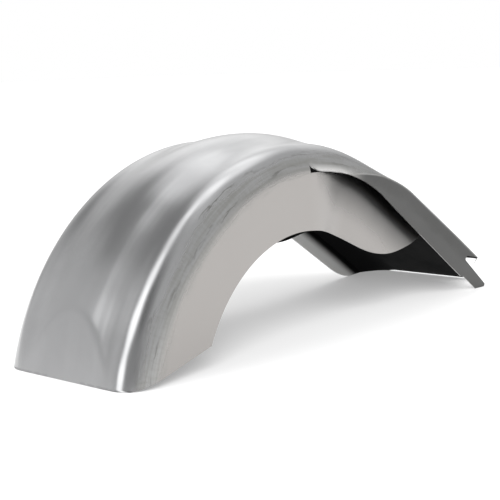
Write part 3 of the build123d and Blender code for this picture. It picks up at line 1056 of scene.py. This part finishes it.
def front_light(context, stage):
    """Soft light on the floor from the camera's side, kept out of the steel's reflections."""
    lamp = bpy.data.lights.new("front_light", "SUN")
    lamp.energy = stage.front
    lamp.angle = radians(FRONT_LIGHT_SOFTNESS)
    obj = bpy.data.objects.new("front_light", lamp)
    down = -Vector(toward(*FRONT_LIGHT))
    obj.rotation_euler = down.to_track_quat("-Z", "Y").to_euler()
    obj.visible_glossy = False
    context.scene.collection.objects.link(obj)


def facing(tree, ray, azimuth, height, wide, narrow):
    """Share of a soft round patch of the surround; angles in degrees."""
    node = tree.nodes.new("ShaderNodeVectorMath")
    node.operation = "DOT_PRODUCT"
    plug(tree, ray, node.inputs[0])
    plug(tree, toward(azimuth, height), node.inputs[1])
    return spread(Field(tree, node.outputs["Value"]), cos(radians(wide)), cos(radians(narrow)))


def studio_world(stage):
    """Grey surround with soft bright panels and dark flags, and a white ring round the horizon."""
    world = bpy.data.worlds.new("studio")
    world.use_nodes = True
    tree = world.node_tree
    ray = tree.nodes.new("ShaderNodeTexCoord").outputs["Generated"]
    total = stage.fill
    for *patch, strength in PANELS:
        total = facing(tree, ray, *patch) * strength + total
    low, high = (sin(radians(angle)) for angle in RING_HEIGHTS)
    ring = spread(part_of(tree, ray, "Z"), low, high, 1.0, 0.0)
    feed(tree, tree.nodes["Background"], {"Color": (1, 1, 1, 1), "Strength": total.math("MAXIMUM", ring)})
    return world


def pale_floor(context, stage):
    """Wide plain floor that keeps the shadow."""
    material, tree, main = shader("studio_floor")
    tint = noise(tree, object_place(tree), scale=1.5, detail=2.0)
    colour = blend(tint, stage.floor, shaded(stage.floor, 0.995))
    feed(tree, main, {"Base Color": colour, "Roughness": 0.9, "Specular IOR Level": 0.0,
                      "Emission Color": (1, 1, 1, 1), "Emission Strength": stage.glow})
    mesh = bpy.data.meshes.new("studio_floor")
    corners = [(x * FLOOR_HALF, y * FLOOR_HALF, 0) for x, y in ((-1, -1), (1, -1), (1, 1), (-1, 1))]
    mesh.from_pydata(corners, [], [(0, 1, 2, 3)])
    mesh.materials.append(material)
    floor = bpy.data.objects.new("studio_floor", mesh)
    context.scene.collection.objects.link(floor)


def photo_camera(context):
    """Camera at the photograph's place and angle."""
    lens = bpy.data.cameras.new("camera")
    lens.lens = CAMERA_LENS
    lens.sensor_width = CAMERA_SENSOR
    lens.clip_end = CAMERA_SIGHT
    camera = bpy.data.objects.new("camera", lens)
    yaw, tilt = radians(CAMERA_YAW), radians(CAMERA_TILT)
    ahead = Vector(toward(CAMERA_YAW, -CAMERA_PITCH))
    right = Vector((sin(yaw), -cos(yaw), 0))
    up = right.cross(ahead)
    across = right * cos(tilt) + up * sin(tilt)
    upright = up * cos(tilt) - right * sin(tilt)
    turn = Matrix((across, upright, -ahead)).transposed().to_4x4()
    camera.matrix_world = Matrix.Translation(CAMERA_PLACE) @ turn
    context.scene.collection.objects.link(camera)
    context.scene.camera = camera


class FENDER_OT_stage(bpy.types.Operator):
    """Set up the floor, the surround, the front light and the camera"""

    bl_idname = "fender.stage"
    bl_label = "Stage"

    def execute(self, context):
        stage = context.scene.fender_stage
        context.scene.view_settings.view_transform = "Standard"
        context.scene.world = studio_world(stage)
        pale_floor(context, stage)
        front_light(context, stage)
        photo_camera(context)
        return {"FINISHED"}


class FENDER_PT_panel(bpy.types.Panel):
    """Sizes, finish and steps of the fender"""

    bl_idname = "FENDER_PT_panel"
    bl_label = "Rear Fender"
    bl_space_type = "VIEW_3D"
    bl_region_type = "UI"
    bl_category = "Fender"

    def draw(self, context):
        for group in (context.scene.fender_sizes, context.scene.fender_finish, context.scene.fender_stage):
            box = self.layout.box()
            for name in type(group).__annotations__:
                box.prop(group, name)
        for step in STEPS:
            self.layout.operator(step.bl_idname)


GROUPS = {"fender_sizes": FenderSizes, "fender_finish": FenderFinish, "fender_stage": FenderStage}
STEPS = (FENDER_OT_sheet, FENDER_OT_walls, FENDER_OT_stage)


def register():
    for cls in (*GROUPS.values(), *STEPS, FENDER_PT_panel):
        bpy.utils.register_class(cls)
    for name, group in GROUPS.items():
        setattr(bpy.types.Scene, name, bpy.props.PointerProperty(type=group))


def unregister():
    for name in GROUPS:
        delattr(bpy.types.Scene, name)
    for cls in (FENDER_PT_panel, *STEPS[::-1], *GROUPS.values()):
        bpy.utils.unregister_class(cls)


def main():
    register()
    bpy.ops.fender.sheet()
    bpy.ops.fender.walls()
    bpy.ops.fender.stage()
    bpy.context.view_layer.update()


if __name__ == "__main__":
    main()
